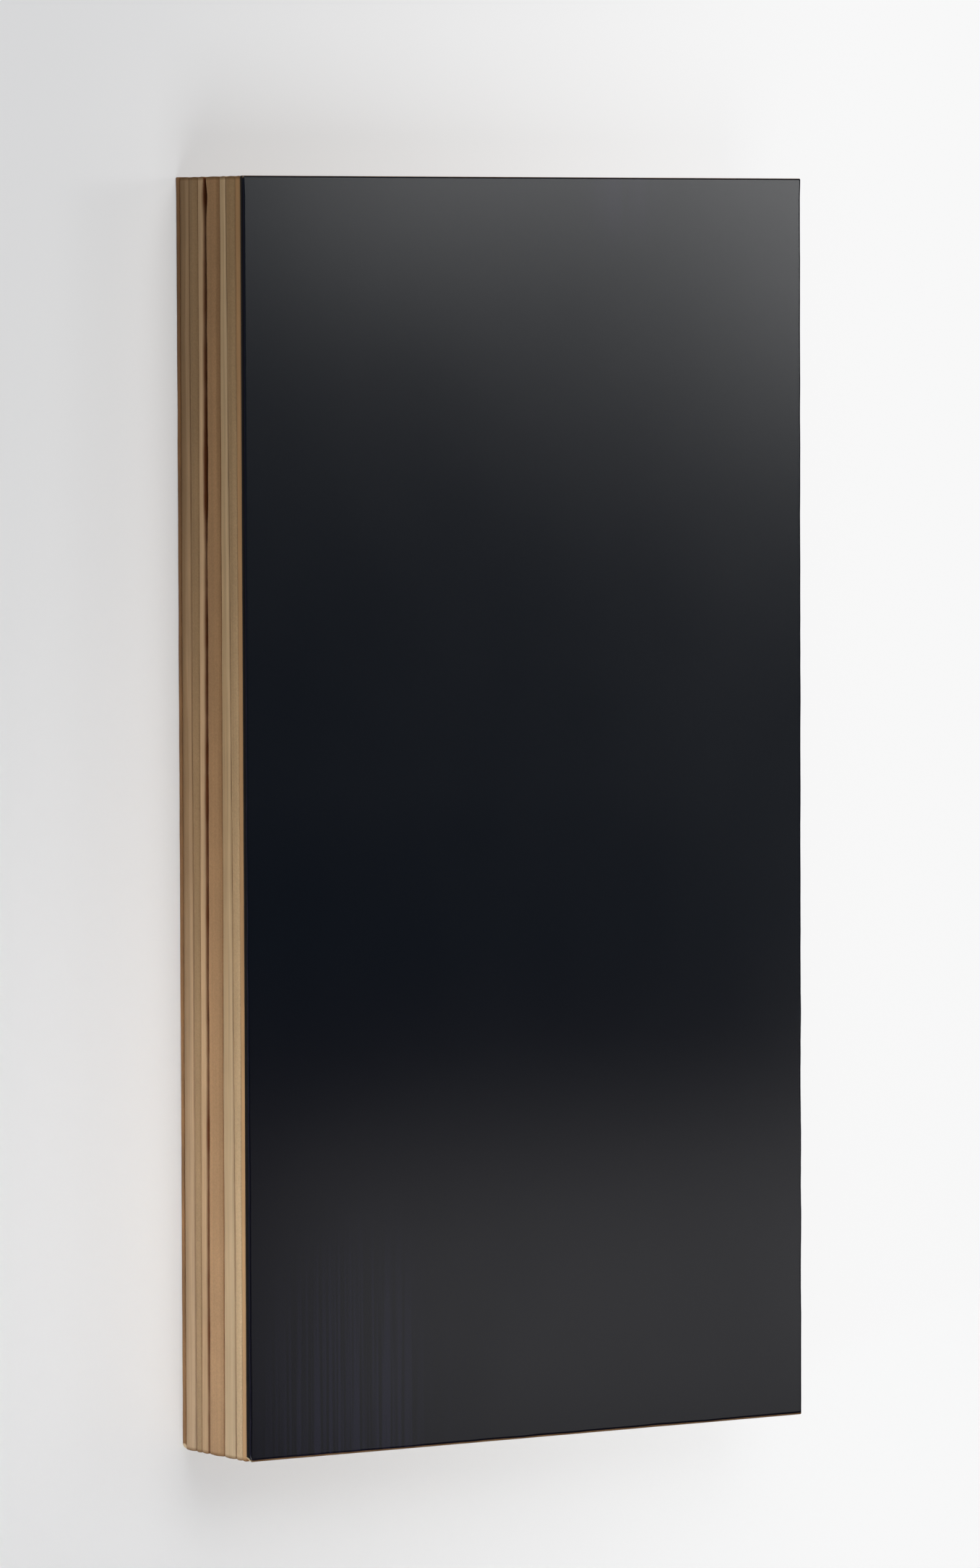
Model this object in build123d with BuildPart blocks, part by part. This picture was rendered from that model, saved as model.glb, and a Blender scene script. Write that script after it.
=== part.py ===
from build123d import *
import os

# A cut panel of laminate-faced plywood, lying flat with its black face up.
# Seven rotary-cut veneers are glued up, with the grain of each across that of the next,
# between a brown backing laminate and a black face laminate.
# The origin is at the middle of the underside, +Y runs along the panel and +Z up through it.
# Lengths are in millimetres.

# Outline of the panel, as sawn
panel_length = 180.0
panel_width = 95.0

# Thickness of each layer at its mean, from the underside up
back_laminate_thickness = 0.9
back_veneer_thickness = 2.65
back_crossband_thickness = 1.95
back_inner_ply_thickness = 1.9
core_ply_thickness = 4.1
face_inner_ply_thickness = 2.4
face_crossband_thickness = 2.1
face_veneer_thickness = 1.3
face_laminate_thickness = 0.7

# Leg of the bevel that is sanded on the upright corners, and along the two faces of the panel
corner_ease = 0.4
back_arris_ease = 0.35
face_arris_ease = 0.3

# The bit of the face laminate that has broken off at the near left corner, along each side
corner_nick = 0.8

# How far the two layers at each glue line are bevelled there, from the underside up.
# One joint of the core has opened into a groove, three more show as shallow grooves,
# and the rest are almost closed.
back_bond_ease = 0.06
back_veneer_joint_ease = 0.20
back_crossband_joint_ease = 0.08
open_core_joint_ease = 0.35
closed_core_joint_ease = 0.20
face_inner_joint_ease = 0.18
face_crossband_joint_ease = 0.08
face_bond_ease = 0.06

# Rotary-cut veneers swell or thin along the panel, so the glue lines between them run
# out of parallel with the faces. The most that any one strays from its level at an end,
# and the share of that at the near and the far end, from the underside up.
glue_line_drift = 0.65
end_shares = (-0.5, 0.5)
level_shares = (0.0, 0.0)
back_veneer_drift_shares = (0.2, -0.2)
back_crossband_drift_shares = (-0.5, 0.5)
open_core_drift_shares = (-0.4, 0.3)
closed_core_drift_shares = (-0.4, 0.2)
face_inner_drift_shares = (0.8, -1.0)
face_crossband_drift_shares = (0.2, -0.5)

# The layers from the underside up
layers = [
    ("back_laminate", back_laminate_thickness),
    ("back_veneer", back_veneer_thickness),
    ("back_crossband", back_crossband_thickness),
    ("back_inner_ply", back_inner_ply_thickness),
    ("core_ply", core_ply_thickness),
    ("face_inner_ply", face_inner_ply_thickness),
    ("face_crossband", face_crossband_thickness),
    ("face_veneer", face_veneer_thickness),
    ("face_laminate", face_laminate_thickness),
]

# What bounds them: the underside, the glue lines between them, and the face
joints = [
    (back_arris_ease, level_shares),
    (back_bond_ease, level_shares),
    (back_veneer_joint_ease, back_veneer_drift_shares),
    (back_crossband_joint_ease, back_crossband_drift_shares),
    (open_core_joint_ease, open_core_drift_shares),
    (closed_core_joint_ease, closed_core_drift_shares),
    (face_inner_joint_ease, face_inner_drift_shares),
    (face_crossband_joint_ease, face_crossband_drift_shares),
    (face_bond_ease, level_shares),
    (face_arris_ease, level_shares),
]


def joint_ends(level, drift_shares):
    """The near and far ends of a joint, as distances along the panel and heights."""
    return [
        (end * panel_length, level + drift * glue_line_drift)
        for end, drift in zip(end_shares, drift_shares)
    ]


# Each layer lies on the level that the last one reached. Its side view runs along the panel
# between its two joints, and is drawn out across the panel's width.
os.makedirs("parts", exist_ok=True)
level = 0
for (name, thickness), below, above in zip(layers, joints, joints[1:]):
    lower_ease, lower_shares = below
    upper_ease, upper_shares = above
    lower_near, lower_far = joint_ends(level, lower_shares)
    upper_near, upper_far = joint_ends(level + thickness, upper_shares)
    with BuildPart() as layer:
        with BuildSketch(Plane.YZ):
            with BuildLine():
                Polyline(lower_near, lower_far, upper_far, upper_near, close=True)
            make_face()
        extrude(amount=panel_width / 2, both=True)
        near_left = (-panel_width / 2, -panel_length / 2, level)
        corners = layer.edges().filter_by(Axis.Z).sort_by_distance(near_left)
        chamfer(corners[0], corner_nick if name == "face_laminate" else corner_ease)
        corners = layer.edges().filter_by(Axis.Z).sort_by_distance(near_left)
        chamfer(corners[2:], corner_ease)
        chamfer(layer.faces().sort_by(Axis.Z)[0].edges(), lower_ease)
        chamfer(layer.faces().sort_by(Axis.Z)[-1].edges(), upper_ease)
    layer.part.label = name
    export_step(layer.part, f"parts/{name}.step")
    level += thickness
print("panel", panel_width, "x", panel_length, "x", round(level, 3), "mm")
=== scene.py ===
"""Looks for a cut panel of laminate-faced plywood, lying flat with its black face up.

Every layer of the panel is one piece: a wall round the sawn outline, with its crown, its fibres
and the grooves along its glue lines, closed by a cap above and below. Lengths are in metres.
"""
from functools import partial
from math import pi, radians
from typing import NamedTuple

import bpy
from bpy.props import FloatProperty, FloatVectorProperty, PointerProperty
from mathutils import Matrix, Vector


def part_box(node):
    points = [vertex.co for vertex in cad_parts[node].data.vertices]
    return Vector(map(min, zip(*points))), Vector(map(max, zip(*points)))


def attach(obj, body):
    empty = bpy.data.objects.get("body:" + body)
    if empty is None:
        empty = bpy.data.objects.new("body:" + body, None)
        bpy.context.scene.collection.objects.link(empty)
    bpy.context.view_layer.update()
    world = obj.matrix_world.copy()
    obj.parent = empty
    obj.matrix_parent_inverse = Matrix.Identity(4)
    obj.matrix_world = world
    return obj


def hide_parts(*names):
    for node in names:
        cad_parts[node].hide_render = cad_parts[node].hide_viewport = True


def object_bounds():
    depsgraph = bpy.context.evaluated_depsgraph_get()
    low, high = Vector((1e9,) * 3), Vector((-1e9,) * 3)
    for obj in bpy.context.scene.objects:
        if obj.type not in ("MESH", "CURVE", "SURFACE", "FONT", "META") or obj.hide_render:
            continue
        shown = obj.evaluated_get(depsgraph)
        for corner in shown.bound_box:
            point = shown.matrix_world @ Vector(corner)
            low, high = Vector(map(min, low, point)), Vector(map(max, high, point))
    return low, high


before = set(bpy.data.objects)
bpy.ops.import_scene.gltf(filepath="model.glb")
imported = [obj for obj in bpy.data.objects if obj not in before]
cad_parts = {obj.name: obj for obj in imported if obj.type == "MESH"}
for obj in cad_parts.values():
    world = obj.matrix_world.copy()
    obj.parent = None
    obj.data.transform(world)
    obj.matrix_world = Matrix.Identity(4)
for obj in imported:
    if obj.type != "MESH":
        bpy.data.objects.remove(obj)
cad_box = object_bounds()

bl_info = {
    "name": "Laminate-faced plywood panel",
    "version": (1, 0, 0),
    "blender": (4, 5, 0),
    "location": "3D View > Sidebar > Plywood",
    "description": "Dresses a cut panel of laminate-faced plywood and sets its stage",
    "category": "Add Mesh",
}

MM = 0.001

# The panel's box, from the solids
LOW, HIGH = (Vector(corner) for corner in cad_box)
WIDTH, LENGTH, THICKNESS = HIGH - LOW


class Joint(NamedTuple):
    """A boundary of two layers: how far its middle bows up from the straight line of the solids,
    the depth of its groove at the near and the far end as shares of the bevel in the solids,
    and how strongly the glue in it shows at the near end and farther along."""

    bow: float
    near_share: float
    far_share: float
    near_stain: float
    far_stain: float


class Layer(NamedTuple):
    """One layer of the panel: its node, its slot, the run of its fibres and what it is made of.
    Its bands say how light it is on the way from its lower to its upper joint, and its painted run tones
    how much darker or lighter it is drawn halfway along the panel and at the far end, beside the near
    end: painted shade along its sawn edge."""

    node: str
    slot: str
    fibres: str
    stuff: str
    bands: tuple = ((0.0, 1.0), (1.0, 1.0))
    painted_run_tones: tuple = (1.0, 1.0)


# The layers from the underside up. Their run tones are painted shade along the panel.
LAYERS = (
    Layer(
        "back_laminate", "brown_backing_laminate", "none", "Brown kraft laminate, sanded",
        painted_run_tones=(0.88, 1.0),
    ),
    Layer(
        "back_veneer", "pale_veneer", "along", "Poplar veneer, sawn",
        bands=((0.0, 0.74), (0.28, 0.94), (0.52, 0.96), (0.68, 1.22), (1.0, 1.14)),
        painted_run_tones=(0.67, 0.74),
    ),
    Layer(
        "back_crossband", "grey_brown_veneer", "across", "Poplar heartwood veneer, sawn",
        bands=((0.0, 1.0), (0.5, 1.0), (1.0, 0.95)),
        painted_run_tones=(0.86, 0.97),
    ),
    Layer(
        "back_inner_ply", "tan_veneer", "along", "Light okoume veneer, sawn",
        bands=((0.0, 0.95), (0.4, 1.03), (1.0, 1.0)),
        painted_run_tones=(1.15, 1.32),
    ),
    Layer(
        "core_ply", "warm_brown_veneer", "across", "Okoume core veneer, sawn",
        bands=((0.0, 1.0), (0.70, 1.0), (0.86, 0.82), (1.0, 0.78)),
        painted_run_tones=(0.83, 0.92),
    ),
    Layer(
        "face_inner_ply", "pale_veneer", "along", "Pale poplar veneer, sawn",
        bands=((0.0, 1.02), (0.55, 0.98), (0.78, 1.22), (1.0, 1.05)),
        painted_run_tones=(0.76, 1.08),
    ),
    Layer(
        "face_crossband", "bright_veneer", "across", "Birch veneer, sawn",
        bands=((0.0, 1.08), (0.35, 0.92), (0.7, 1.0), (1.0, 1.12)),
        painted_run_tones=(0.86, 0.68),
    ),
    Layer(
        "face_veneer", "rosy_veneer", "along", "Rosy okoume veneer, sawn",
        bands=((0.0, 0.88), (0.4, 1.0), (1.0, 1.04)),
        painted_run_tones=(0.87, 0.88),
    ),
    Layer("face_laminate", "black_face_laminate", "none", "Black laminate, satin pressed"),
)

# What bounds them, from the underside to the face. The fifth is the open joint of the core.
JOINTS = (
    Joint(0.0, 0.5, 0.5, 0.25, 0.22),
    Joint(0.0, 1.0, 1.0, 0.15, 0.10),
    Joint(0.02 * MM, 0.7, 0.5, 0.40, 0.24),
    Joint(0.08 * MM, 1.0, 0.6, 0.25, 0.10),
    Joint(0.03 * MM, 0.75, 1.80, 0.90, 1.0),
    Joint(0.07 * MM, 0.9, 0.3, 0.52, 0.10),
    Joint(0.20 * MM, 0.9, 0.5, 0.44, 0.30),
    Joint(0.17 * MM, 1.0, 0.6, 0.18, 0.06),
    Joint(0.0, 1.0, 1.0, 0.35, 0.35),
    Joint(0.0, 1.0, 0.5, 0.9, 0.9),
)


def linear(hex_colour):
    """The linear red, green and blue of an sRGB hex value."""
    shares = [int(hex_colour[start : start + 2], 16) / 255 for start in (1, 3, 5)]
    return tuple(s / 12.92 if s <= 0.04045 else ((s + 0.055) / 1.055) ** 2.4 for s in shares)


def opaque(colour):
    """A colour as a node's socket takes it."""
    return (*colour, 1.0)


def shade(colour, tone):
    """A wood colour made lighter or darker. What is darker is warmer too."""
    return tuple(part * tone**power for part, power in zip(colour, (1.0, 1.18, 1.45)))


def set_stops(ramp, stops):
    """Gives the colours of a colour ramp, each at its place from 0 to 1."""
    elements = ramp.color_ramp.elements
    for place, colour in stops[1:-1]:
        elements.new(place)
    for element, (place, colour) in zip(elements, stops):
        element.position = place
        element.color = opaque(colour)


# Settings that a user would change


def user_length(name, description, default):
    """A length that a user can change, in metres."""
    return FloatProperty(name=name, description=description, default=default, unit="LENGTH")


def user_colour(name, description, hex_colour):
    """A colour that a user can change."""
    default = linear(hex_colour)
    return FloatVectorProperty(name=name, description=description, default=default, subtype="COLOR")


class SawnEdgeSizes(bpy.types.PropertyGroup):
    """Sizes of the facets and the relief on the sawn edges."""

    outline_step: user_length("Outline step", "Length of the facets along the sawn edges", 0.45 * MM)
    row_height: user_length(
        "Row height", "Mean height of the facets across the thickness of a layer", 0.22 * MM
    )
    corner_radius: user_length("Corner radius", "Radius of the upright corners of the panel", 0.2 * MM)
    corner_nick: user_length(
        "Corner nick",
        "Length of the bit that has broken off the black face at its near left corner",
        0.8 * MM,
    )
    corner_wear: user_length(
        "Corner wear", "Length that is rubbed off the backing at the same corner", 0.7 * MM
    )
    crown: user_length(
        "Crown", "How far the middle of a veneer's edge stands out past its glue lines", 0.12 * MM
    )
    glue_line_waver: user_length(
        "Glue line waver", "Height over which a glue line wanders up and down along the edge", 0.28 * MM
    )
    fibre_relief: user_length(
        "Fibre relief", "Depth of the furrows that the saw has left between the fibres", 0.06 * MM
    )
    cap_rim: user_length(
        "Cap rim", "Width of the flat rim between a wall and the middle of its cap", 0.25 * MM
    )


class FinishColours(bpy.types.PropertyGroup):
    """Colours of the veneers, the glue and the two laminates."""

    back_laminate: user_colour(
        "Backing laminate",
        "Kraft paper of the backing, and of the face where its arris is rubbed",
        "#9A7248",
    )
    back_veneer: user_colour("Back veneer", "Poplar under the backing", "#C0A484")
    back_crossband: user_colour("Back crossband", "Poplar heartwood next to the back veneer", "#AD916F")
    back_inner_ply: user_colour("Back inner ply", "Light okoume below the core", "#BE9F7C")
    core_ply: user_colour("Core ply", "Okoume of the core", "#B8946F")
    face_inner_ply: user_colour("Face inner ply", "Pale poplar above the core", "#CAB08D")
    face_crossband: user_colour("Face crossband", "Birch next to the face veneer", "#CDB18C")
    face_veneer: user_colour("Face veneer", "Rosy okoume under the face", "#C49E74")
    face_laminate: user_colour("Face laminate", "Black paper of the face", "#040A14")
    # Painted light: a warmer black for the near third of the face, which warms the sheen there
    near_third_sheen_warmth: user_colour(
        "Face laminate, near third",
        "The same black paper towards the near end, where it is a little warmer",
        "#0A0912",
    )
    laminate_core: user_colour(
        "Laminate core", "Black paper that the sawn edge of the face laminate shows", "#0C090A"
    )
    glue: user_colour("Glue", "Phenolic glue that shows in the joints", "#683410")
    # Darker, browner ends of the veneers at the upright corners of the panel
    end_brown: user_colour("Soil", "Dirt and glue rubbed into the ends of the veneers", "#6E4A20")
    # Also the painted highlight along the upper arris of the face laminate's sawn edge
    streak_and_arris_highlight: user_colour(
        "Streak", "Streaks that the pressing plate has left on the face, and its sawn arris", "#1A1929"
    )
    torn_wood: user_colour("Torn wood", "Clean wood where the corner has broken", "#E6D2AC")


class StageLook(bpy.types.PropertyGroup):
    """Colours of the floor and of the light all round, and their levels."""

    floor: user_colour("Floor", "Colour of the floor", "#F2F2F2")
    # The left and right shares differ: painted light, the floor brighter to the right of the panel
    left_haze: FloatProperty(
        name="White haze, left",
        description="Share of plain white that the camera sees in the floor to the left of the panel",
        default=0.27,
        subtype="FACTOR",
    )
    right_haze: FloatProperty(
        name="White haze, right",
        description="Share of plain white that the camera sees in the floor to the right of the panel",
        default=0.85,
        subtype="FACTOR",
    )
    sky: user_colour("Sky", "Colour of the light from all round", "#C9DCFF")
    ambient: FloatProperty(
        name="Ambient light",
        description="Strength of the light from all round",
        default=0.04,
    )


# Helpers for node trees and pieces

# The kinds of node that come up most
MATH = "ShaderNodeMath"
VECTOR_MATH = "ShaderNodeVectorMath"
MAP_RANGE = "ShaderNodeMapRange"

# Most values of a noise lie between these two.
NOISE_SPAN = (0.3, 0.7)


def fill_inputs(node, values):
    """Gives a node's inputs their values or links. A node stands for its first output."""
    for key, value in values.items():
        if isinstance(value, bpy.types.Node):
            value = value.outputs[0]
        if isinstance(value, bpy.types.NodeSocket):
            node.id_data.links.new(value, node.inputs[key])
        else:
            node.inputs[key].default_value = value


def add_node(tree, kind, *values, sockets=None, **settings):
    """Adds a node with its settings, and fills its inputs."""
    made = tree.nodes.new(kind)
    for key, setting in settings.items():
        setattr(made, key, setting)
    fill_inputs(made, {**dict(enumerate(values)), **(sockets or {})})
    return made


def start_tree(name, inputs, outputs):
    """A new tree of geometry nodes with named inputs and outputs."""
    tree = bpy.data.node_groups.new(name, "GeometryNodeTree")
    for side, sockets in (("INPUT", inputs), ("OUTPUT", outputs)):
        for label, kind in sockets.items():
            tree.interface.new_socket(label, in_out=side, socket_type=f"NodeSocket{kind}")
    node = partial(add_node, tree)
    return tree, node, node("NodeGroupInput").outputs


def grow_piece(name, tree, values):
    """A piece as a plain mesh, grown by a tree with these values for its inputs."""
    piece = bpy.data.objects.new(name, bpy.data.meshes.new(name))
    bpy.context.scene.collection.objects.link(piece)
    modifier = piece.modifiers.new(tree.name, "NODES")
    modifier.node_group = tree
    for socket in tree.interface.items_tree:
        if socket.in_out == "INPUT":
            modifier[socket.identifier] = values[socket.name]
    depsgraph = bpy.context.evaluated_depsgraph_get()
    mesh = bpy.data.meshes.new_from_object(piece.evaluated_get(depsgraph), depsgraph=depsgraph)
    if not mesh.polygons:
        raise RuntimeError(f"{name} came out empty")
    piece.modifiers.remove(modifier)
    piece.data = mesh
    mesh.name = name
    return piece


# Geometry of the layers

# What each glue line takes, in the order in which its tree has them
JOINT_INPUTS = (
    "near height", "far height", "bow", "waver",
    "near groove", "far groove", "near stain", "far stain", "seed",
)

# Over about the first length a glue line wanders, and over the second its groove opens and closes.
WAVER_LENGTH = 25 * MM
GAPE_LENGTH = 9 * MM

# Where a groove narrows before the far end, as shares of the panel's length, and to what
RUN_OUT_SHARES = (0.985, 0.998)
NARROWED_SHARE = 0.4

# The wear beside a joint, and the stain of its glue, reach so many depths of its groove up the wall
# and a little more. Over the first part of its reach the stain is full.
WEAR_DEPTHS, WEAR_MARGIN = 1.5, 0.02 * MM
STAIN_DEPTHS, STAIN_MARGIN = 1.1, 0.14 * MM
FULL_STAIN_SHARE = 0.35


def glue_line_tree():
    """Where a glue line runs round the panel, how deep the groove along it is, and how strongly its
    glue shows."""
    floats = ("Length", *(name.capitalize() for name in JOINT_INPUTS))
    tree, node, given = start_tree(
        "Glue line",
        {"Place": "Vector", **dict.fromkeys(floats, "Float")},
        {"Height": "Float", "Groove": "Float", "Stain": "Float"},
    )
    sides = node("ShaderNodeSeparateXYZ", given["Place"]).outputs
    along = node(MATH, sides["Y"], given["Length"], operation="DIVIDE")
    share = node(MATH, along, 0.5, operation="ADD")
    straight = node(MAP_RANGE, share, 0.0, 1.0, given["Near height"], given["Far height"], clamp=False)
    turn = node(MATH, share, pi, operation="MULTIPLY")
    arch = node(MATH, turn, operation="SINE")
    bowed = node(MATH, arch, given["Bow"], straight, operation="MULTIPLY_ADD")
    wander, gape = (
        node(
            "ShaderNodeTexNoise",
            noise_dimensions="4D",
            sockets={"Vector": given["Place"], "W": given["Seed"], "Scale": 1 / length, "Detail": detail},
        )
        for length, detail in ((WAVER_LENGTH, 2.0), (GAPE_LENGTH, 3.0))
    )
    offset = node(MATH, wander, 0.5, operation="SUBTRACT")
    height = node(MATH, offset, given["Waver"], bowed, operation="MULTIPLY_ADD")
    uneven = node(MAP_RANGE, gape, *NOISE_SPAN, 0.7, 1.25, clamp=False)
    even = node(MAP_RANGE, share, 0.0, 1.0, given["Near groove"], given["Far groove"], clamp=False)
    opened = node(MATH, uneven, even, operation="MULTIPLY")
    run_out = node(MAP_RANGE, share, *RUN_OUT_SHARES, 1.0, NARROWED_SHARE)
    groove = node(MATH, opened, run_out, operation="MULTIPLY")
    drawn = node(MAP_RANGE, share, 0.0, 0.45, given["Near stain"], given["Far stain"])
    stain = node(MATH, uneven, drawn, operation="MULTIPLY")
    node("NodeGroupOutput", height, groove, stain)
    return tree


def worn_arris_tree():
    """How far a wall draws back next to a joint, and how much of the joint's stain it takes."""
    floats = ("Height", "Joint", "Groove", "Stain")
    tree, node, given = start_tree(
        "Worn arris", dict.fromkeys(floats, "Float"), {"Inset": "Float", "Stain": "Float"}
    )
    gap = node(MATH, given["Height"], given["Joint"], operation="SUBTRACT")
    distance = node(MATH, gap, operation="ABSOLUTE")
    reach = node(MATH, given["Groove"], WEAR_DEPTHS, WEAR_MARGIN, operation="MULTIPLY_ADD")
    near = node(MAP_RANGE, distance, 0.0, reach, 1.0, 0.0)
    rounded = node(MATH, near, 2.0, operation="POWER")
    inset = node(MATH, rounded, given["Groove"], operation="MULTIPLY")
    soak = node(MATH, given["Groove"], STAIN_DEPTHS, STAIN_MARGIN, operation="MULTIPLY_ADD")
    full = node(MATH, soak, FULL_STAIN_SHARE, operation="MULTIPLY")
    fade = node(MAP_RANGE, distance, full, soak, 1.0, 0.0, interpolation_type="SMOOTHSTEP")
    stain = node(MATH, fade, given["Stain"], operation="MULTIPLY", use_clamp=True)
    node("NodeGroupOutput", inset, stain)
    return tree


# Facets in the arc of an upright corner, and the least share of its radius that a wall keeps
CORNER_FACETS = 4
LEAST_ARC_SHARE = 0.15

# Points closer than the first are made one, and heights closer than the second are one level.
MERGE_DISTANCE = 0.0005 * MM
LEVEL_MARGIN = 0.01 * MM


def sawn_layer_tree():
    """One layer: a wall round the outline between its two joints, with a cap on each."""
    known = bpy.data.node_groups.get("Sawn layer")
    if known:
        return known
    floats = (
        "Width", "Length", "Corner radius", "Corner loss", "Outline step", "Cap rim",
        "Crown", "Fibre relief", "Seed",
    )
    joint_floats = [f"{side} {name}" for side in ("Lower", "Upper") for name in JOINT_INPUTS]
    tree, node, given = start_tree(
        "Sawn layer",
        {
            **dict.fromkeys((*floats, *joint_floats), "Float"),
            "Rows": "Int",
            "Fibre scale": "Vector",
            "Finish": "Material",
            "Edge finish": "Material",
        },
        {"Layer": "Geometry"},
    )

    # Outline of the panel with rounded corners, cut into short facets
    sheet = node("GeometryNodeCurvePrimitiveQuadrilateral", given["Width"], given["Length"])
    rounded = node(
        "GeometryNodeFilletCurve",
        mode="POLY",
        sockets={"Curve": sheet, "Count": CORNER_FACETS, "Radius": given["Corner radius"]},
    )
    place = node("GeometryNodeInputPosition")
    index = node("GeometryNodeInputIndex")
    following = node("GeometryNodeOffsetPointInCurve", sockets={"Point Index": index, "Offset": 1})
    next_place = node(
        "GeometryNodeFieldAtIndex",
        data_type="FLOAT_VECTOR",
        sockets={"Index": following.outputs["Point Index"], "Value": place},
    )
    run = node(VECTOR_MATH, place, next_place, operation="DISTANCE")
    cuts = node(MATH, run.outputs["Value"], given["Outline step"], operation="DIVIDE")
    facets = node("GeometryNodeSubdivideCurve", rounded, cuts)

    # The near left corner is cut back along a slanting line.
    diagonal = node(VECTOR_MATH, place, (1.0, 1.0, 0.0), operation="DOT_PRODUCT")
    both_sides = node(MATH, given["Width"], given["Length"], operation="ADD")
    from_corner = node(MATH, both_sides, 0.5, diagonal.outputs["Value"], operation="MULTIPLY_ADD")
    missing = node(MATH, given["Corner loss"], from_corner, operation="SUBTRACT")
    lost = node(MATH, missing, 0.0, operation="MAXIMUM")
    step_in = node(MATH, lost, 0.5, operation="MULTIPLY")
    cut_back = node("ShaderNodeCombineXYZ", step_in, step_in)
    outline = node("GeometryNodeSetPosition", sockets={"Geometry": facets, "Offset": cut_back})

    # The rows of the wall, with a rim and a middle row for each cap, are drawn round the outline.
    row_count = node(MATH, given["Rows"], 4.0, operation="ADD")
    line = node("GeometryNodeCurvePrimitiveLine")
    rows = node("GeometryNodeResampleCurve", mode="COUNT", sockets={"Curve": line, "Count": row_count})
    kept_row = node("GeometryNodeCaptureAttribute", rows)
    kept_row.capture_items.new("FLOAT", "Row")
    fill_inputs(kept_row, {"Row": index})
    kept_place = node("GeometryNodeCaptureAttribute", outline)
    kept_place.capture_items.new("VECTOR", "Place")
    fill_inputs(kept_place, {"Place": place})
    wall = node("GeometryNodeCurveToMesh", sockets={"Curve": kept_place, "Profile Curve": kept_row})
    row = kept_row.outputs["Row"]
    edge = kept_place.outputs["Place"]

    # 0 on the wall, 1 on the rim of a cap, 2 in the middle of a cap
    last_row = node(MATH, given["Rows"], 1.0, operation="ADD")
    below = node(MATH, 2.0, row, operation="SUBTRACT")
    above = node(MATH, row, last_row, operation="SUBTRACT")
    depth = node(MATH, below, above, operation="MAXIMUM")
    on_wall = node(MAP_RANGE, depth, 0.0, 1.0, 1.0, 0.0)
    on_rim = node(MAP_RANGE, depth, 0.0, 1.0, 0.0, given["Cap rim"])
    spread = node(MAP_RANGE, depth, 1.0, 2.0, 1.0, 0.0)
    joint_place = node(VECTOR_MATH, edge, operation="SCALE", sockets={"Scale": spread})

    # The two joints, and the height of each row between them
    glue_line = glue_line_tree()
    heights = {}
    for side in ("Lower", "Upper"):
        heights[side] = node(
            "GeometryNodeGroup",
            joint_place,
            given["Length"],
            *(given[f"{side} {name}"] for name in JOINT_INPUTS),
            node_tree=glue_line,
        ).outputs
    share = node(MAP_RANGE, row, 2.0, last_row, 0.0, 1.0, interpolation_type="SMOOTHSTEP")
    height = node(MAP_RANGE, share, 0.0, 1.0, heights["Lower"]["Height"], heights["Upper"]["Height"])

    # What draws the wall back: the grooves, the crown and the furrows between the fibres
    worn_arris = worn_arris_tree()
    arrises = [
        node("GeometryNodeGroup", height, *joint, node_tree=worn_arris).outputs
        for joint in heights.values()
    ]
    grooves = node(MATH, arrises[0]["Inset"], arrises[1]["Inset"], operation="ADD")
    soaked = node(MATH, arrises[0]["Stain"], arrises[1]["Stain"], operation="MAXIMUM")
    stain = node(MATH, soaked, on_wall, operation="MULTIPLY")
    off_middle = node(MATH, share, 2.0, -1.0, operation="MULTIPLY_ADD")
    fall = node(MATH, off_middle, 2.0, operation="POWER")
    crowned = node(MATH, fall, given["Crown"], grooves, operation="MULTIPLY_ADD")
    lift = node("ShaderNodeCombineXYZ", 0.0, 0.0, height)
    point = node(VECTOR_MATH, edge, lift, operation="ADD")
    stretched = node(VECTOR_MATH, point, given["Fibre scale"], operation="MULTIPLY")
    fibres = node(
        "ShaderNodeTexNoise",
        noise_dimensions="4D",
        sockets={"Vector": stretched, "W": given["Seed"], "Scale": 1.0, "Detail": 2.0},
    )
    furrowed = node(MATH, fibres, given["Fibre relief"], crowned, operation="MULTIPLY_ADD")
    inset = node(MATH, furrowed, on_rim, operation="ADD")

    # Inwards from each side and along the arc of each corner, whose radius shrinks on the way
    sides = node("ShaderNodeCombineXYZ", given["Width"], given["Length"])
    half = node(VECTOR_MATH, sides, operation="SCALE", sockets={"Scale": 0.5})
    radius = given["Corner radius"]
    full_arc = node(MATH, radius, inset, operation="SUBTRACT")
    least_arc = node(MATH, radius, LEAST_ARC_SHARE, operation="MULTIPLY")
    arc_left = node(MATH, full_arc, least_arc, operation="MAXIMUM")
    past_arc = node(MATH, inset, arc_left, operation="ADD")
    centres = []
    for reach in (radius, past_arc):
        margin = node("ShaderNodeCombineXYZ", reach, reach)
        core = node(VECTOR_MATH, half, margin, operation="SUBTRACT")
        opposite = node(VECTOR_MATH, core, operation="SCALE", sockets={"Scale": -1.0})
        held = node(VECTOR_MATH, edge, core, operation="MINIMUM")
        centres.append(node(VECTOR_MATH, held, opposite, operation="MAXIMUM"))
    from_centre = node(VECTOR_MATH, edge, centres[0], operation="SUBTRACT")
    outwards = node(VECTOR_MATH, from_centre, operation="NORMALIZE")
    on_arc = node(VECTOR_MATH, outwards, operation="SCALE", sockets={"Scale": arc_left})
    flat_place = node(VECTOR_MATH, centres[1], on_arc, operation="ADD")
    gathered = node(VECTOR_MATH, flat_place, operation="SCALE", sockets={"Scale": spread})
    final_place = node(VECTOR_MATH, gathered, lift, operation="ADD")

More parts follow.
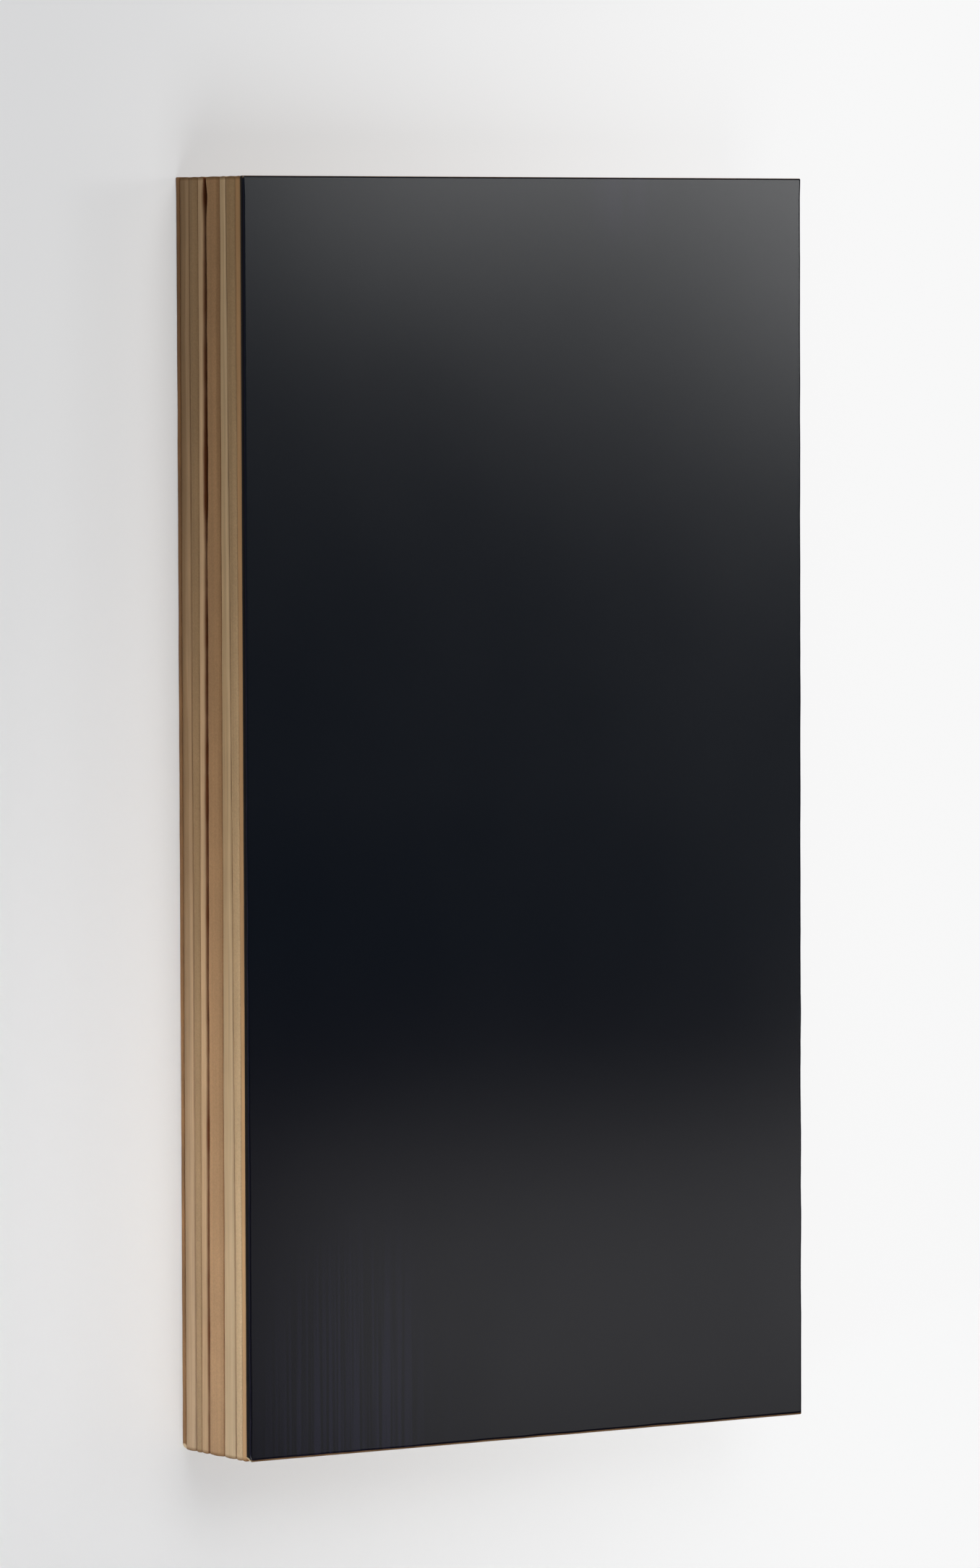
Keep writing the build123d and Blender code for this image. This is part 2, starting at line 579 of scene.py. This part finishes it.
    # What the finishes read: the stain of the glue, and the share of the way from joint to joint
    marked = wall
    for name, value in (("stain", stain), ("share", share)):
        marked = node(
            "GeometryNodeStoreNamedAttribute",
            data_type="FLOAT",
            domain="POINT",
            sockets={"Geometry": marked, "Name": name, "Value": value},
        )
    shaped = node("GeometryNodeSetPosition", sockets={"Geometry": marked, "Position": final_place})
    closed = node("GeometryNodeMergeByDistance", sockets={"Geometry": shaped, "Distance": MERGE_DISTANCE})
    outward = node("GeometryNodeFlipFaces", closed)
    smooth = node("GeometryNodeSetShadeSmooth", outward)
    realized = node("GeometryNodeRealizeInstances", smooth)
    finished = node(
        "GeometryNodeSetMaterial", sockets={"Geometry": realized, "Material": given["Finish"]}
    )
    on_edge = node("FunctionNodeCompare", on_wall, 0.75, operation="GREATER_THAN")
    trimmed = node(
        "GeometryNodeSetMaterial",
        sockets={"Geometry": finished, "Selection": on_edge, "Material": given["Edge finish"]},
    )
    node("NodeGroupOutput", trimmed)
    return tree


def layer_ends(node):
    """The heights of a layer's two joints at the near and far end, and the bevels at them,
    from the corners of its solid."""
    corners = [vertex.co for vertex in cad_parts[node].data.vertices]
    near = [corner for corner in corners if corner.y < 0]
    far = [corner for corner in corners if corner.y > 0]
    ends = {}
    for side, pick in (("Lower", min), ("Upper", max)):
        near_height = pick(corner.z for corner in near)
        far_height = pick(corner.z for corner in far)
        flat = [corner.x for corner in near if abs(corner.z - near_height) < LEVEL_MARGIN]
        ends[side] = near_height, far_height, HIGH.x - max(flat)
    return ends


# Rows of facets that a layer has even if it is thin, and the share of the relief on a laminate
LEAST_ROWS = 9
LAMINATE_RELIEF_SHARE = 0.2

# Pitch of the fibres in the relief, across and along their run
FIBRE_PITCH = 0.7 * MM
FIBRE_LENGTH = 16 * MM
FIBRE_SCALES = {
    "along": (1 / FIBRE_PITCH, 1 / FIBRE_LENGTH, 1 / FIBRE_PITCH),
    "across": (1 / FIBRE_LENGTH, 1 / FIBRE_PITCH, 1 / FIBRE_PITCH),
    "none": (1 / FIBRE_PITCH, 1 / FIBRE_PITCH, 1 / FIBRE_PITCH),
}


def saw_layer(tree, layer, finish, edge_finish=None):
    """Makes the piece that stands for one layer of the solids, with a finish of its own on its sawn
    edge where one is given."""
    sizes = bpy.context.scene.sawn_edge_sizes
    number = LAYERS.index(layer)
    ends = layer_ends(layer.node)
    laminate = layer.fibres == "none"
    corner_losses = {"face_laminate": sizes.corner_nick, "back_laminate": sizes.corner_wear}
    values = {
        "Width": WIDTH,
        "Length": LENGTH,
        "Corner radius": sizes.corner_radius,
        "Corner loss": corner_losses.get(layer.node, 0.0),
        "Outline step": sizes.outline_step,
        "Cap rim": sizes.cap_rim,
        "Crown": 0.0 if laminate else sizes.crown,
        "Fibre relief": sizes.fibre_relief * (LAMINATE_RELIEF_SHARE if laminate else 1.0),
        "Fibre scale": FIBRE_SCALES[layer.fibres],
        "Seed": 10.0 * number,
        "Finish": finish,
        "Edge finish": edge_finish or finish,
    }
    for side, which in (("Lower", number), ("Upper", number + 1)):
        near_height, far_height, bevel = ends[side]
        joint = JOINTS[which]
        level = which in (0, 1, len(JOINTS) - 2, len(JOINTS) - 1)
        waver = 0.0 if level else sizes.glue_line_waver
        grooves = bevel * joint.near_share, bevel * joint.far_share
        stains = joint.near_stain, joint.far_stain
        settings = (near_height, far_height, joint.bow, waver, *grooves, *stains, float(which))
        values.update((f"{side} {name}", value) for name, value in zip(JOINT_INPUTS, settings))
    mean_height = (sum(ends["Upper"][:2]) - sum(ends["Lower"][:2])) / 2
    values["Rows"] = LEAST_ROWS + round(mean_height / sizes.row_height)
    piece = grow_piece(f"{layer.node}_sawn", tree, values)
    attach(piece, "root")
    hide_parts(layer.node)


def splinter_tree():
    """A tuft of splinters along a break, each a thin wedge that leans its own way."""
    tree, node, given = start_tree(
        "Splinters",
        {
            **dict.fromkeys(("Start", "End", "Stray", "Lean"), "Vector"),
            **dict.fromkeys(("Length", "Thickness"), "Float"),
            **dict.fromkeys(("Count", "Seed"), "Int"),
            "Finish": "Material",
        },
        {"Splinters": "Geometry"},
    )
    line = node("GeometryNodeCurvePrimitiveLine", sockets={"Start": given["Start"], "End": given["End"]})
    roots = node(
        "GeometryNodeResampleCurve", mode="COUNT", sockets={"Curve": line, "Count": given["Count"]}
    )
    spread = {}
    for number, name in enumerate(("Stray", "Lean")):
        opposite = node(VECTOR_MATH, given[name], operation="SCALE", sockets={"Scale": -1.0})
        seed = node(MATH, given["Seed"], float(number), operation="ADD")
        spread[name] = node(
            "FunctionNodeRandomValue",
            data_type="FLOAT_VECTOR",
            sockets={0: opposite, 1: given[name], "Seed": seed},
        )
    strewn = node("GeometryNodeSetPosition", sockets={"Geometry": roots, "Offset": spread["Stray"]})
    tip = node(MATH, given["Thickness"], 0.3, operation="MULTIPLY")
    wedge = node(
        "GeometryNodeMeshCone",
        sockets={
            "Vertices": 5,
            "Side Segments": 2,
            "Radius Top": tip,
            "Radius Bottom": given["Thickness"],
            "Depth": given["Length"],
        },
    )
    growth = node(
        "FunctionNodeRandomValue", data_type="FLOAT", sockets={2: 0.55, 3: 1.0, "Seed": given["Seed"]}
    )
    tuft = node(
        "GeometryNodeInstanceOnPoints",
        sockets={
            "Points": strewn,
            "Instance": wedge.outputs["Mesh"],
            "Rotation": spread["Lean"],
            "Scale": growth.outputs[1],
        },
    )
    realized = node("GeometryNodeRealizeInstances", tuft)
    finished = node(
        "GeometryNodeSetMaterial", sockets={"Geometry": realized, "Material": given["Finish"]}
    )
    node("NodeGroupOutput", finished)
    return tree


# Finishes


def start_material(name):
    """A new material: itself, what adds its nodes, its shader and the place on the piece."""
    material = bpy.data.materials.new(name)
    material.use_nodes = True
    node = partial(add_node, material.node_tree)
    shader = material.node_tree.nodes["Principled BSDF"]
    return material, node, shader, node("ShaderNodeTexCoord").outputs["Object"]


def drawn_noise(node, place, size, **sockets):
    """A noise drawn out to a real size along each axis of the piece."""
    scale = tuple(1 / length for length in size)
    stretched = node(VECTOR_MATH, place, scale, operation="MULTIPLY")
    return node(
        "ShaderNodeTexNoise",
        noise_dimensions="4D" if "W" in sockets else "3D",
        sockets={"Vector": stretched, "Scale": 1.0, **sockets},
    )


# Painted shade along the panel: how much warmer the wood and the kraft paper are drawn halfway along and
# at the far end, where less light falls on the sawn edge
MIDDLE_PAINTED_SHADE_TINT = (1.02, 0.975, 0.90)
FAR_PAINTED_SHADE_TINT = (1.03, 0.95, 0.82)


def painted_run_shade(node, along, layer):
    """Painted shade of a layer from the near to the far end of the panel: darker or lighter, and warmer.
    """
    painted_shade_tint = node("ShaderNodeValToRGB", along)
    middle_tone, far_tone = layer.painted_run_tones
    set_stops(
        painted_shade_tint,
        (
            (0.0, (1.0, 1.0, 1.0)),
            (0.5, shade(MIDDLE_PAINTED_SHADE_TINT, middle_tone)),
            (1.0, shade(FAR_PAINTED_SHADE_TINT, far_tone)),
        ),
    )
    return painted_shade_tint


# Seeds of the veneers' patterns
FIRST_SEED = 20.0
SEED_STEP = 5.0

# Depth of the lines in the wood, in the pressed face and in bare paper
GRAIN_DEPTH = 0.05 * MM
PLATE_DEPTH = 0.01 * MM
PAPER_DEPTH = 0.02 * MM

# How far from the upright corners the ends of the veneers are fully darker and browner, and how far that
# reaches
END_DARKENING_REACHES = (0.15 * MM, 0.6 * MM)


def veneer_wood(layer, seed):
    """Rotary-cut veneer, sawn square: matte, in soft bands from one glue line to the other, with year
    rings, fine fibres that are lines along their run and pores across it, dark glue soaked into its
    edges, and darker, browner ends at the upright corners of the panel. Along the panel it carries
    painted shade."""
    colours = bpy.context.scene.finish_colours
    colour = getattr(colours, layer.node)
    material, node, shader, place = start_material(layer.stuff)

    # Sizes of its patterns along each axis: the stray of its bands, its year rings, its fibres, and
    # the patches from handling and weather
    pitch, run = 0.25 * MM, 14 * MM
    pattern_sizes = {
        "stray": (30 * MM, 30 * MM, 3 * MM),
        "rings": (60 * MM, 70 * MM, 0.9 * MM),
        "fibres": (pitch, run, pitch) if layer.fibres == "along" else (run, pitch, pitch),
        "patches": (12 * MM,) * 3,
    }
    patterns = {}
    for number, (name, size) in enumerate(pattern_sizes.items()):
        patterns[name] = drawn_noise(node, place, size, W=seed + number, Detail=3.0)

    # The bands, which are faint at the near end, and painted shade along the panel
    lengthwise = node("ShaderNodeSeparateXYZ", place).outputs["Y"]
    along = node(MAP_RANGE, lengthwise, LOW.y, HIGH.y, 0.0, 1.0)
    across = node("ShaderNodeAttribute", attribute_name="share").outputs["Fac"]
    stray = node(MAP_RANGE, patterns["stray"], *NOISE_SPAN, -0.12, 0.12)
    level = node(MATH, across, stray, operation="ADD")
    bands = node("ShaderNodeValToRGB", level)
    bands.color_ramp.interpolation = "EASE"
    set_stops(bands, [(share, shade(colour, tone)) for share, tone in layer.bands])
    strength = node(MAP_RANGE, along, 0.05, 0.6, 0.35, 1.0)
    banded = node(
        "ShaderNodeMix", data_type="RGBA", sockets={0: strength, 6: opaque(colour), 7: bands}
    ).outputs[2]
    painted_shade_tint = painted_run_shade(node, along, layer)
    shade_painted = node(VECTOR_MATH, banded, painted_shade_tint, operation="MULTIPLY")

    tone = 1.0
    for name, dim, lit in (("rings", 0.90, 1.10), ("fibres", 0.91, 1.09), ("patches", 0.93, 1.07)):
        share = node(MAP_RANGE, patterns[name], *NOISE_SPAN, dim, lit)
        tone = node(MATH, share, tone, operation="MULTIPLY")
    grained = node(VECTOR_MATH, shade_painted, operation="SCALE", sockets={"Scale": tone})

    # Glue in the joints, and darker, browner ends at the upright corners
    from_middle = node(VECTOR_MATH, place, operation="ABSOLUTE")
    half_sides = (WIDTH / 2, LENGTH / 2, 0.0)
    inside = node(VECTOR_MATH, half_sides, from_middle, operation="SUBTRACT")
    sides = node("ShaderNodeSeparateXYZ", inside).outputs
    from_corner = node(MATH, sides["X"], sides["Y"], operation="MAXIMUM")
    end_darkening = node(MAP_RANGE, from_corner, *END_DARKENING_REACHES, 0.8, 0.0)
    glue = node("ShaderNodeAttribute", attribute_name="stain").outputs["Fac"]
    surface = grained
    for share, stuff in ((end_darkening, colours.end_brown), (glue, colours.glue)):
        surface = node(
            "ShaderNodeMix", data_type="RGBA", sockets={0: share, 6: surface, 7: opaque(stuff)}
        ).outputs[2]
    relief = node(
        "ShaderNodeBump", sockets={"Strength": 0.5, "Distance": GRAIN_DEPTH, "Height": patterns["fibres"]}
    )
    matte = {"Roughness": 0.82, "Specular IOR Level": 0.25}
    fill_inputs(shader, {"Base Color": surface, "Normal": relief, **matte})
    return material


def torn_veneer():
    """Wood torn along its fibres: pale, dry and matte, with fine darker fibres."""
    colours = bpy.context.scene.finish_colours
    material, node, shader, place = start_material("Okoume veneer, torn")

    # Fibres 0.06 mm thick
    fibres = drawn_noise(node, place, (0.06 * MM,) * 3, Detail=2.0)
    tone = node(MAP_RANGE, fibres, *NOISE_SPAN, 0.8, 1.1)
    wood = node(VECTOR_MATH, colours.torn_wood, operation="SCALE", sockets={"Scale": tone})
    fill_inputs(shader, {"Base Color": wood, "Roughness": 0.9, "Specular IOR Level": 0.2})
    return material


# Patches of the face that the pressing plate has left streaky: where their middles are, and their
# reach to each side
STREAK_PATCHES = (
    ((-30 * MM, -88 * MM), (21 * MM, 40 * MM)),
    ((16 * MM, 90 * MM), (9 * MM, 13 * MM)),
)


def black_face_laminate(layer):
    """High-pressure laminate, pressed on a satin plate: blue-black, with a soft broad gloss that is
    a little cloudy, a fine even grain, and faint streaks along the sheet in two patches. Towards the
    near end it is glossier, and its black is drawn a little warmer: painted warmth in the sheen there."""
    colours = bpy.context.scene.finish_colours
    material, node, shader, place = start_material(layer.stuff)

    # Clouds 24 mm wide, streaks 0.5 mm wide and 60 mm long, and the grain of the plate, drawn at
    # 0.3 mm so that it shows
    patterns = {}
    for name, size in (
        ("clouds", (24 * MM,) * 3),
        ("streaks", (0.5 * MM, 60 * MM, 60 * MM)),
        ("plate", (0.3 * MM,) * 3),
    ):
        patterns[name] = drawn_noise(node, place, size, Detail=2.0)
    sides = node("ShaderNodeSeparateXYZ", place).outputs
    along = node(MAP_RANGE, sides["Y"], LOW.y, HIGH.y, 0.0, 1.0)
    near_third = node(MAP_RANGE, along, 0.22, 0.40, 1.0, 0.0)
    clouds = node(MAP_RANGE, patterns["clouds"], *NOISE_SPAN, 0.207, 0.194)
    gloss = node(MAP_RANGE, along, 0.32, 0.52, 0.06, 0.0)
    roughness = node(MATH, clouds, gloss, operation="SUBTRACT")
    streaks = node(MAP_RANGE, patterns["streaks"], 0.44, 0.58, 0.0, 1.0)
    # Painted light: the black is drawn warmer over the near third, to warm the sheen there
    paper = node(
        "ShaderNodeMix",
        data_type="RGBA",
        sockets={0: near_third, 6: opaque(colours.face_laminate), 7: opaque(colours.near_third_sheen_warmth)},
    ).outputs[2]
    for (middle_x, middle_y), (reach_x, reach_y) in STREAK_PATCHES:
        offset = node(VECTOR_MATH, place, (middle_x, middle_y, HIGH.z), operation="SUBTRACT")
        shares = node(VECTOR_MATH, offset, (1 / reach_x, 1 / reach_y, 0.0), operation="MULTIPLY")
        distance = node(VECTOR_MATH, shares, operation="LENGTH")
        patch = node(
            MAP_RANGE, distance.outputs["Value"], 0.2, 1.0, 1.0, 0.0, interpolation_type="SMOOTHSTEP"
        )
        streaky = node(MATH, patch, streaks, operation="MULTIPLY")
        paper = node(
            "ShaderNodeMix", data_type="RGBA", sockets={0: streaky, 6: paper, 7: opaque(colours.streak_and_arris_highlight)}
        ).outputs[2]
    relief = node(
        "ShaderNodeBump", sockets={"Strength": 0.15, "Distance": PLATE_DEPTH, "Height": patterns["plate"]}
    )
    fill_inputs(shader, {"Base Color": paper, "Roughness": roughness, "Normal": relief, "IOR": 1.5})
    return material


# How far from the panel's ends the face laminate starts to look rubbed, and where it is fully so
RUBBED_REACHES = (0.4 * MM, 0.2 * MM)


def sawn_laminate_edge():
    """Sawn edge of the same laminate: its resin-soaked paper, black and dull, with a painted bluish
    highlight along its upper arris, and rubbed brown along the arrises at the two ends."""
    colours = bpy.context.scene.finish_colours
    material, node, shader, place = start_material("Black laminate, sawn edge")
    along = node("ShaderNodeSeparateXYZ", place).outputs["Y"]
    from_middle = node(MATH, along, operation="ABSOLUTE")
    rub_start, rub_end = (LENGTH / 2 - reach for reach in RUBBED_REACHES)
    at_end = node(MAP_RANGE, from_middle, rub_start, rub_end, 0.0, 0.8)
    arris = node("ShaderNodeAttribute", attribute_name="stain").outputs["Fac"]
    rubbed = node(MATH, arris, at_end, operation="MULTIPLY")
    across = node("ShaderNodeAttribute", attribute_name="share").outputs["Fac"]
    # Painted highlight: the top of the sawn edge, next to its arris, is drawn lighter and bluish
    upper = node(MAP_RANGE, across, 0.80, 0.97, 0.0, 1.0)
    paper = opaque(colours.laminate_core)
    for share, tinge in ((upper, colours.streak_and_arris_highlight), (rubbed, colours.back_laminate)):
        paper = node(
            "ShaderNodeMix", data_type="RGBA", sockets={0: share, 6: paper, 7: opaque(tinge)}
        ).outputs[2]

    # Plies of paper 0.15 mm thick
    plies = drawn_noise(node, place, (8 * MM, 8 * MM, 0.15 * MM), Detail=2.0)
    relief = node("ShaderNodeBump", sockets={"Strength": 0.4, "Distance": PAPER_DEPTH, "Height": plies})
    dull = {"Roughness": 0.6, "Specular IOR Level": 0.1}
    fill_inputs(shader, {"Base Color": paper, "Normal": relief, **dull})
    return material


def brown_backing_laminate(layer):
    """Backing laminate of kraft paper, sanded for glue: matte brown, cloudy, with fine lines from
    the sanding belt along the sheet, a darker arris, dark spots near the near end, and a pale rubbed
    spot at the near left corner."""
    colours = bpy.context.scene.finish_colours
    material, node, shader, place = start_material(layer.stuff)

    # Belt lines 0.4 mm wide and 60 mm long, and clouds 9 mm wide
    belt = drawn_noise(node, place, (0.4 * MM, 60 * MM, 0.4 * MM), Detail=3.0)
    clouds = drawn_noise(node, place, (9 * MM,) * 3, Detail=4.0)
    belt_tone = node(MAP_RANGE, belt, *NOISE_SPAN, 0.85, 1.1)
    cloud_tone = node(MAP_RANGE, clouds, *NOISE_SPAN, 0.75, 1.15)
    tone = node(MATH, belt_tone, cloud_tone, operation="MULTIPLY")
    paper = node(VECTOR_MATH, colours.back_laminate, operation="SCALE", sockets={"Scale": tone})
    sides = node("ShaderNodeSeparateXYZ", place).outputs
    along = node(MAP_RANGE, sides["Y"], LOW.y, HIGH.y, 0.0, 1.0)
    # Painted shade along the panel, as on the veneers
    painted_shade_tint = painted_run_shade(node, along, layer)
    shade_painted = node(VECTOR_MATH, paper, painted_shade_tint, operation="MULTIPLY")

    # Dark spots 1.5 mm wide on the arris, over the nearest quarter of the panel
    specks = drawn_noise(node, place, (1.5 * MM,) * 3, Detail=2.0)
    spots = node(MAP_RANGE, specks, 0.52, 0.60, 1.0, 2.2)
    near_end = node(MAP_RANGE, along, 0.05, 0.25, spots, 1.0)
    arris = node("ShaderNodeAttribute", attribute_name="stain").outputs["Fac"]
    soaked = node(MATH, arris, near_end, operation="MULTIPLY", use_clamp=True)
    stained = node(
        "ShaderNodeMix", data_type="RGBA", sockets={0: soaked, 6: shade_painted, 7: opaque(colours.glue)}
    ).outputs[2]

    # The rubbed corner
    from_sides = node(MATH, sides["X"], sides["Y"], operation="ADD")
    wear = bpy.context.scene.sawn_edge_sizes.corner_wear
    rub_start, rub_end = (LOW.x + LOW.y + share * wear for share in (1.1, 1.4))
    rubbed = node(MAP_RANGE, from_sides, rub_start, rub_end, 0.8, 0.0)
    worn = node(
        "ShaderNodeMix", data_type="RGBA", sockets={0: rubbed, 6: stained, 7: opaque(colours.torn_wood)}
    ).outputs[2]
    relief = node("ShaderNodeBump", sockets={"Strength": 0.4, "Distance": PAPER_DEPTH, "Height": belt})
    fill_inputs(shader, {"Base Color": worn, "Normal": relief, "Roughness": 0.7})
    return material


# Stage


class Lamp(NamedTuple):
    """A soft box: where it stands, what it faces, its sides, how bright its cloth is and the angle
    to which its grid narrows the beam."""

    name: str
    place: tuple
    aim: tuple
    width: float
    height: float
    brightness: float
    spread: float


LAMPS = (
    Lamp("far soft box", (0.628, 0.115, 0.699), (0.0, 0.0, 0.0), 0.10, 0.185, 6.3, 180.0),
    Lamp("far strip box", (0.268, 0.137, 0.400), (0.0, 0.0, 0.0), 0.08, 0.143, 3.2, 180.0),
    Lamp("near soft box", (0.630, -0.170, 0.731), (0.0, -0.253, 0.0), 0.09, 0.40, 0.90, 180.0),
    Lamp("side strip box", (0.611, -0.113, 0.731), (0.0, -0.113, 0.0), 0.175, 0.07, 0.55, 180.0),
    Lamp("far main soft box", (-0.05, 0.70, 1.15), (0.0, 0.0, 0.0), 0.80, 0.80, 3.6, 180.0),
    Lamp("near main soft box", (-0.15, -0.70, 1.15), (0.0, 0.0, 0.0), 0.70, 0.80, 3.0, 180.0),
    Lamp("gridded soft box", (-0.50, -0.22, 0.14), (-0.048, -0.058, 0.009), 0.12, 0.08, 0.75, 20.0),
)

# The camera looks at the middle of the face from this far, turned about the panel's long axis,
# then its short axis, then its own, with the middle of the face a little off the middle of the view.
CAMERA_TURN = Matrix.Rotation(radians(-33.27), 3, "Y")
CAMERA_TILT = Matrix.Rotation(radians(-3.10), 3, "X")
CAMERA_ROLL = Matrix.Rotation(radians(-0.20), 3, "Z")
CAMERA_PLACE = Vector((-5.616 * MM, 3.708 * MM, 1271.7 * MM))
CAMERA_LENS = 204.9
CAMERA_SENSOR = 36.0
FLOOR_HALF = 3.0

# The haze over the floor thickens from the left to the right of the panel, starting and ending this
# far from its sides: painted light, as if the floor were lit more from the right. All round it, the haze
# thickens to plain white between these two distances from its middle.
HAZE_REACH = 30 * MM
HAZE_START = 160 * MM
HAZE_END = 700 * MM


def pale_floor():
    """Seamless paper, matte: a pale plain ground with soft shadows, which a haze of plain white
    lightens for the camera and in the gloss of the panel, more on the right than the left: painted light."""
    look = bpy.context.scene.stage_look
    material, node, shader, place = start_material("Pale seamless paper")
    matte = {"Roughness": 0.95, "Specular IOR Level": 0.0}
    fill_inputs(shader, {"Base Color": opaque(look.floor), **matte})
    path = node("ShaderNodeLightPath").outputs
    seen = node(MATH, path["Is Camera Ray"], path["Is Glossy Ray"], operation="MAXIMUM")
    sideways = node("ShaderNodeSeparateXYZ", place).outputs["X"]
    # Painted light: more white to the right of the panel than to its left
    painted_side_light = node(
        MAP_RANGE,
        sideways,
        LOW.x - HAZE_REACH,
        HIGH.x + HAZE_REACH,
        look.left_haze,
        look.right_haze,
        interpolation_type="SMOOTHSTEP",
    )
    distance = node(VECTOR_MATH, place, operation="LENGTH")
    haze = node(
        MAP_RANGE,
        distance.outputs["Value"],
        HAZE_START,
        HAZE_END,
        painted_side_light,
        1.0,
        interpolation_type="SMOOTHSTEP",
    )
    share = node(MATH, seen, haze, operation="MULTIPLY")
    white = node("ShaderNodeEmission", (1.0, 1.0, 1.0, 1.0), 1.0)
    mixed = node("ShaderNodeMixShader", share, shader, white)
    fill_inputs(material.node_tree.nodes["Material Output"], {"Surface": mixed})
    return material


# Operators


class PLYWOOD_OT_saw_veneers(bpy.types.Operator):
    """Makes the seven veneers as sawn pieces, with their grain and glue lines"""

    bl_idname = "plywood.saw_veneers"
    bl_label = "Saw the veneers"

    def execute(self, context):
        tree = sawn_layer_tree()
        for number, layer in enumerate(LAYERS):
            if layer.fibres != "none":
                saw_layer(tree, layer, veneer_wood(layer, FIRST_SEED + SEED_STEP * number))
        return {"FINISHED"}


class PLYWOOD_OT_press_laminates(bpy.types.Operator):
    """Makes the black laminate of the face and the brown one of the back"""

    bl_idname = "plywood.press_laminates"
    bl_label = "Press the laminates"

    def execute(self, context):
        tree = sawn_layer_tree()
        backing, face = LAYERS[0], LAYERS[-1]
        saw_layer(tree, backing, brown_backing_laminate(backing))
        saw_layer(tree, face, black_face_laminate(face), sawn_laminate_edge())
        return {"FINISHED"}


class PLYWOOD_OT_splinter_corner(bpy.types.Operator):
    """Leaves torn splinters where the near left corner of the black face has broken off"""

    bl_idname = "plywood.splinter_corner"
    bl_label = "Splinter the corner"

    def execute(self, context):
        nick = context.scene.sawn_edge_sizes.corner_nick
        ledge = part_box("face_laminate")[0][2]
        values = {
            "Start": (LOW.x + 0.75 * nick, LOW.y + 0.20 * nick, ledge),
            "End": (LOW.x + 0.20 * nick, LOW.y + 0.75 * nick, ledge),
            "Count": 9,
            "Length": 0.6 * nick,
            "Thickness": 0.14 * nick,
            "Stray": (0.08 * nick, 0.08 * nick, 0.0),
            "Lean": (radians(14), radians(14), pi),
            "Seed": 4,
            "Finish": torn_veneer(),
        }
        piece = grow_piece("corner_splinters", splinter_tree(), values)
        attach(piece, "root")
        return {"FINISHED"}


class PLYWOOD_OT_set_stage(bpy.types.Operator):
    """Lays the floor, and sets the lamps and the camera"""

    bl_idname = "plywood.set_stage"
    bl_label = "Set the stage"

    def execute(self, context):
        scene = context.scene
        ground = bpy.data.meshes.new("floor")
        square = ((-1, -1), (1, -1), (1, 1), (-1, 1))
        corners = [(x * FLOOR_HALF, y * FLOOR_HALF, LOW.z) for x, y in square]
        ground.from_pydata(corners, [], [(0, 1, 2, 3)])
        ground.materials.append(pale_floor())
        floor = bpy.data.objects.new("floor", ground)
        scene.collection.objects.link(floor)

        world = bpy.data.worlds.new("Studio")
        world.use_nodes = True
        background = world.node_tree.nodes["Background"]
        background.inputs["Color"].default_value = opaque(scene.stage_look.sky)
        background.inputs["Strength"].default_value = scene.stage_look.ambient
        scene.world = world

        for lamp in LAMPS:
            light = bpy.data.lights.new(lamp.name, "AREA")
            light.shape = "RECTANGLE"
            light.size = lamp.width
            light.size_y = lamp.height
            light.energy = lamp.brightness * pi * lamp.width * lamp.height
            light.spread = radians(lamp.spread)
            stand = bpy.data.objects.new(lamp.name, light)
            stand.location = lamp.place
            facing = Vector(lamp.aim) - Vector(lamp.place)
            stand.rotation_euler = facing.to_track_quat("-Z", "Y").to_euler()
            stand.visible_camera = False
            scene.collection.objects.link(stand)

        lens = bpy.data.cameras.new("camera")
        lens.lens = CAMERA_LENS
        lens.sensor_width = CAMERA_SENSOR
        camera = bpy.data.objects.new("camera", lens)
        turn = CAMERA_TURN @ CAMERA_TILT @ CAMERA_ROLL
        camera.location = Vector((0, 0, HIGH.z)) + turn @ CAMERA_PLACE
        camera.rotation_euler = turn.to_euler()
        scene.collection.objects.link(camera)
        scene.camera = camera
        scene.view_settings.view_transform = "Standard"
        return {"FINISHED"}


class PLYWOOD_PT_sidebar(bpy.types.Panel):
    """The steps that dress the panel, and their settings"""

    bl_label = "Plywood"
    bl_space_type = "VIEW_3D"
    bl_region_type = "UI"
    bl_category = "Plywood"

    def draw(self, context):
        for step in STEPS:
            self.layout.operator(step.bl_idname)
        scene = context.scene
        for group in (scene.sawn_edge_sizes, scene.finish_colours, scene.stage_look):
            box = self.layout.box()
            for name in group.__annotations__:
                box.prop(group, name)


STEPS = (
    PLYWOOD_OT_saw_veneers,
    PLYWOOD_OT_press_laminates,
    PLYWOOD_OT_splinter_corner,
    PLYWOOD_OT_set_stage,
)
CLASSES = (SawnEdgeSizes, FinishColours, StageLook, *STEPS, PLYWOOD_PT_sidebar)


def register():
    for item in CLASSES:
        bpy.utils.register_class(item)
    bpy.types.Scene.sawn_edge_sizes = PointerProperty(type=SawnEdgeSizes)
    bpy.types.Scene.finish_colours = PointerProperty(type=FinishColours)
    bpy.types.Scene.stage_look = PointerProperty(type=StageLook)


def unregister():
    del bpy.types.Scene.stage_look
    del bpy.types.Scene.finish_colours
    del bpy.types.Scene.sawn_edge_sizes
    for item in reversed(CLASSES):
        bpy.utils.unregister_class(item)


def main():
    register()
    bpy.ops.plywood.saw_veneers()
    bpy.ops.plywood.press_laminates()
    bpy.ops.plywood.splinter_corner()
    bpy.ops.plywood.set_stage()


if __name__ == "__main__":
    main()
